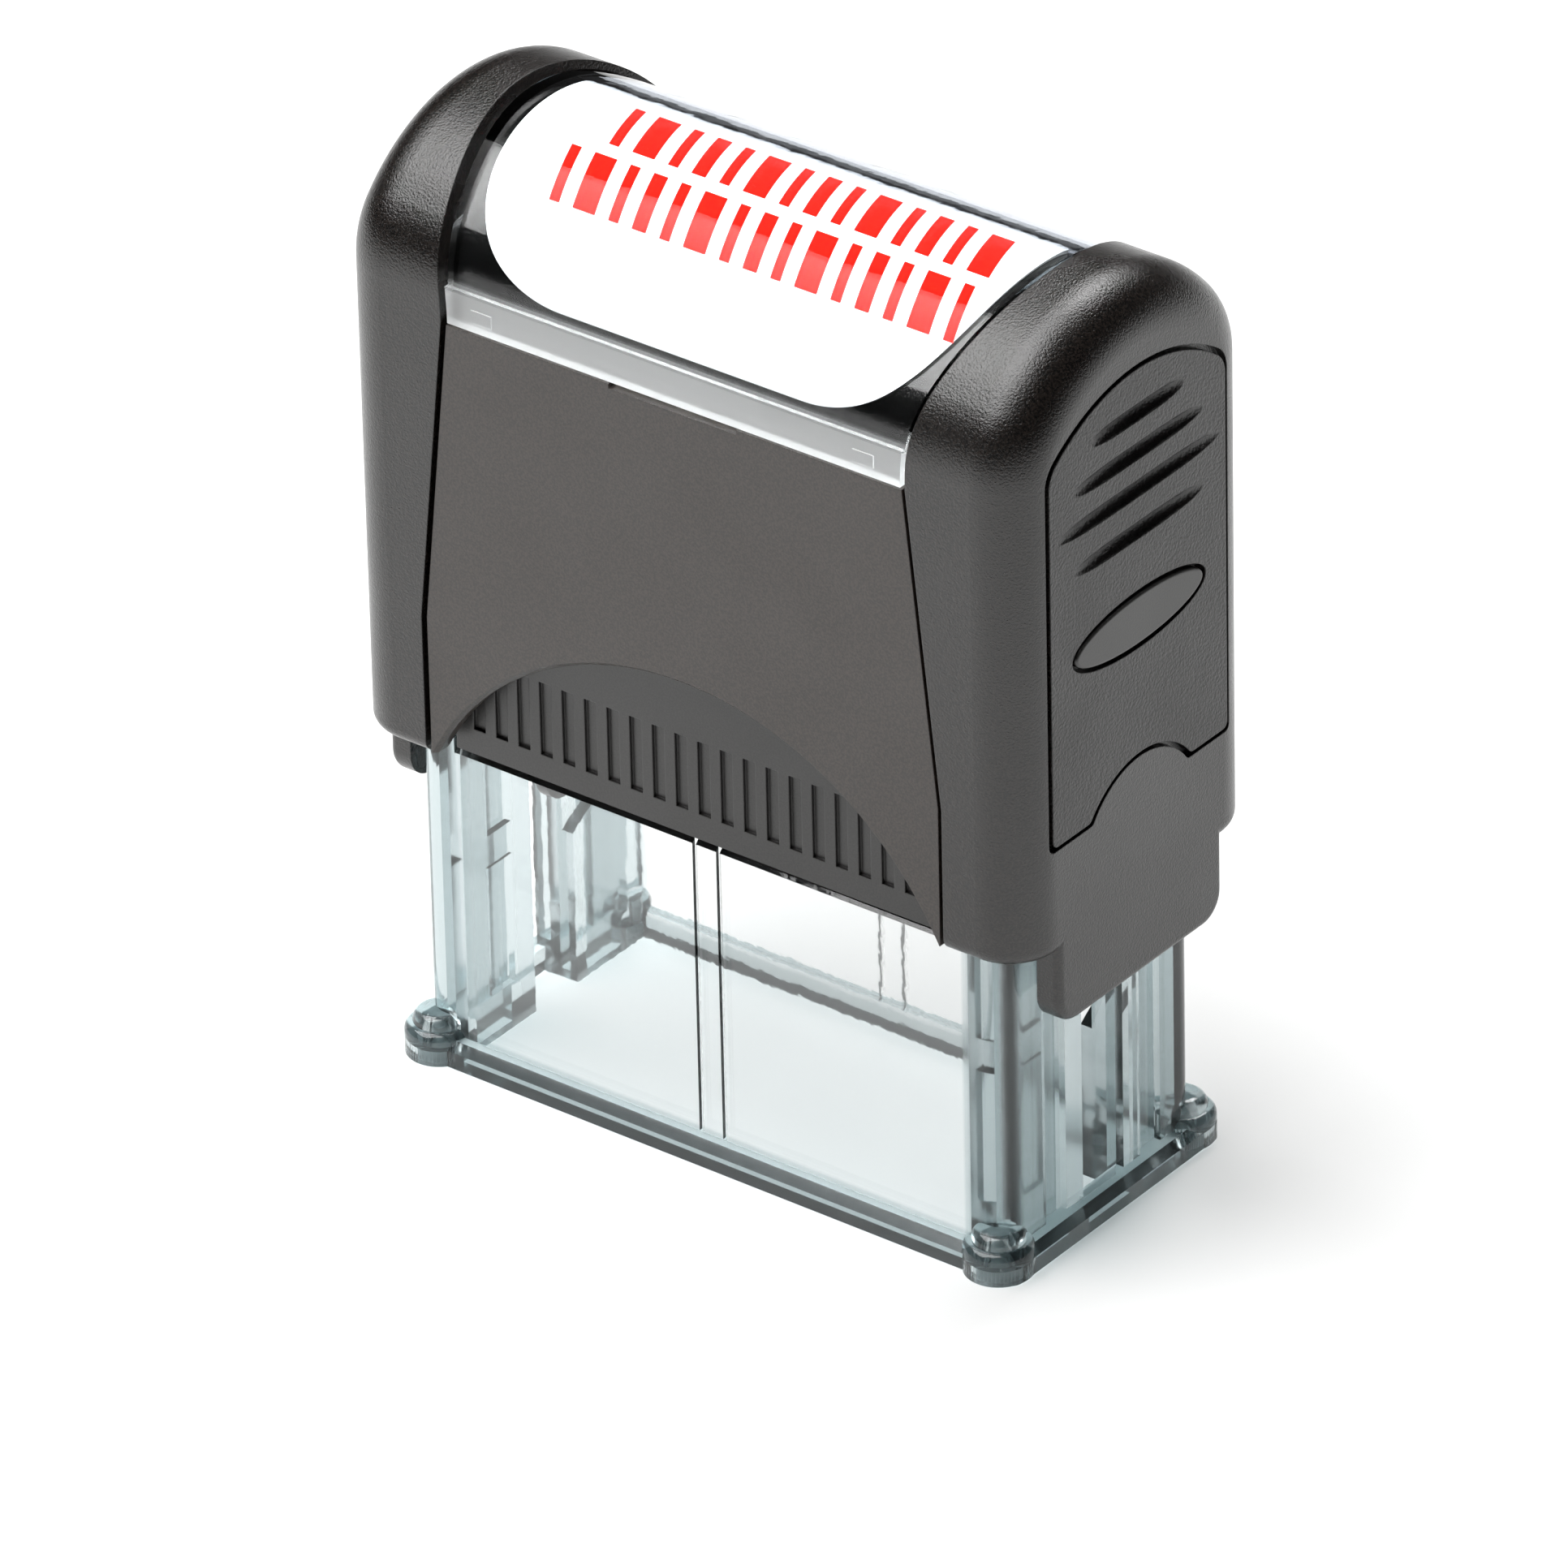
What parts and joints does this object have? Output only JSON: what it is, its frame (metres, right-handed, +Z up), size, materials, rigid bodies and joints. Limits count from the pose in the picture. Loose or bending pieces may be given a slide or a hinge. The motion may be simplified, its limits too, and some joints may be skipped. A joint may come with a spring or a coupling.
{
  "type": "self inking stamp",
  "caption": "Hand stamp with a spring-loaded cap, a clear base, an ink pad and a text plate that turns over as it is pressed; clear index window on top.",
  "frame": {"origin": "middle of the footprint, on the surface the stamp stands on, with the cap up", "axes": "+Z up, +X along the stamp's length, -Y towards the front of the stamp"},
  "size_m": [0.0668, 0.031, 0.0842],
  "materials": {
    "clear_plastic": "clear, polished, faint blue-grey tint",
    "foot_rubber": "soft, translucent",
    "cartridge_plastic": "fine matt, black",
    "ink_felt": "felt soaked in red ink",
    "carrier_plastic": "satin, black",
    "journal_plastic": "smooth, black",
    "foam": "fine-celled foam tape",
    "die_rubber": "laser-cut rubber, inked red",
    "inner_plastic": "satin, black",
    "spring_steel": "drawn wire",
    "cap_plastic": "fine spark-eroded grain, black",
    "end_cap_plastic": "fine spark-eroded grain, black",
    "grip_rubber": "coarse grain, black",
    "badge_plastic": "smooth satin, black",
    "card_paper": "white card printed with red bars",
    "window_plastic": "clear, polished"
  },
  "bodies": {
    "frame": {"base_frame": "clear_plastic", "anti_slip_feet": "foot_rubber", "ink_cartridge": "cartridge_plastic", "ink_pad": "ink_felt", "return_spring": "spring_steel"},
    "cap": {"yoke": "inner_plastic", "hood": "cap_plastic", "left_end_cap": "end_cap_plastic", "right_end_cap": "end_cap_plastic", "left_grip_insert": "grip_rubber", "right_grip_insert": "grip_rubber", "left_oval_badge": "badge_plastic", "right_oval_badge": "badge_plastic", "index_card": "card_paper"},
    "plate": {"plate_carrier": "carrier_plastic", "left_axle_journal": "journal_plastic", "right_axle_journal": "journal_plastic", "mounting_foam": "foam", "text_plate": "die_rubber"},
    "window": {"index_window": "window_plastic"}
  },
  "joints": [
    {"name": "cap_slide", "type": "slide", "parent": "frame", "child": "cap", "axis": [0, 0, -1], "range_m": [0, 0.023], "stiffness_N_per_m": 300, "springref_m": -0.02, "deforming": ["return_spring"]},
    {"name": "plate_flip", "type": "hinge", "parent": "cap", "child": "plate", "pos_m": [0, 0, 0.029], "axis": [1, 0, 0], "range_deg": [0, 180]},
    {"name": "window_lift", "type": "slide", "parent": "cap", "child": "window", "axis": [0, 0, 1], "range_m": [0, 0.03]}
  ],
  "couplings": [
    {"joint": "plate_flip", "follows": "cap_slide", "rad_per_m": 136.59}
  ]
}
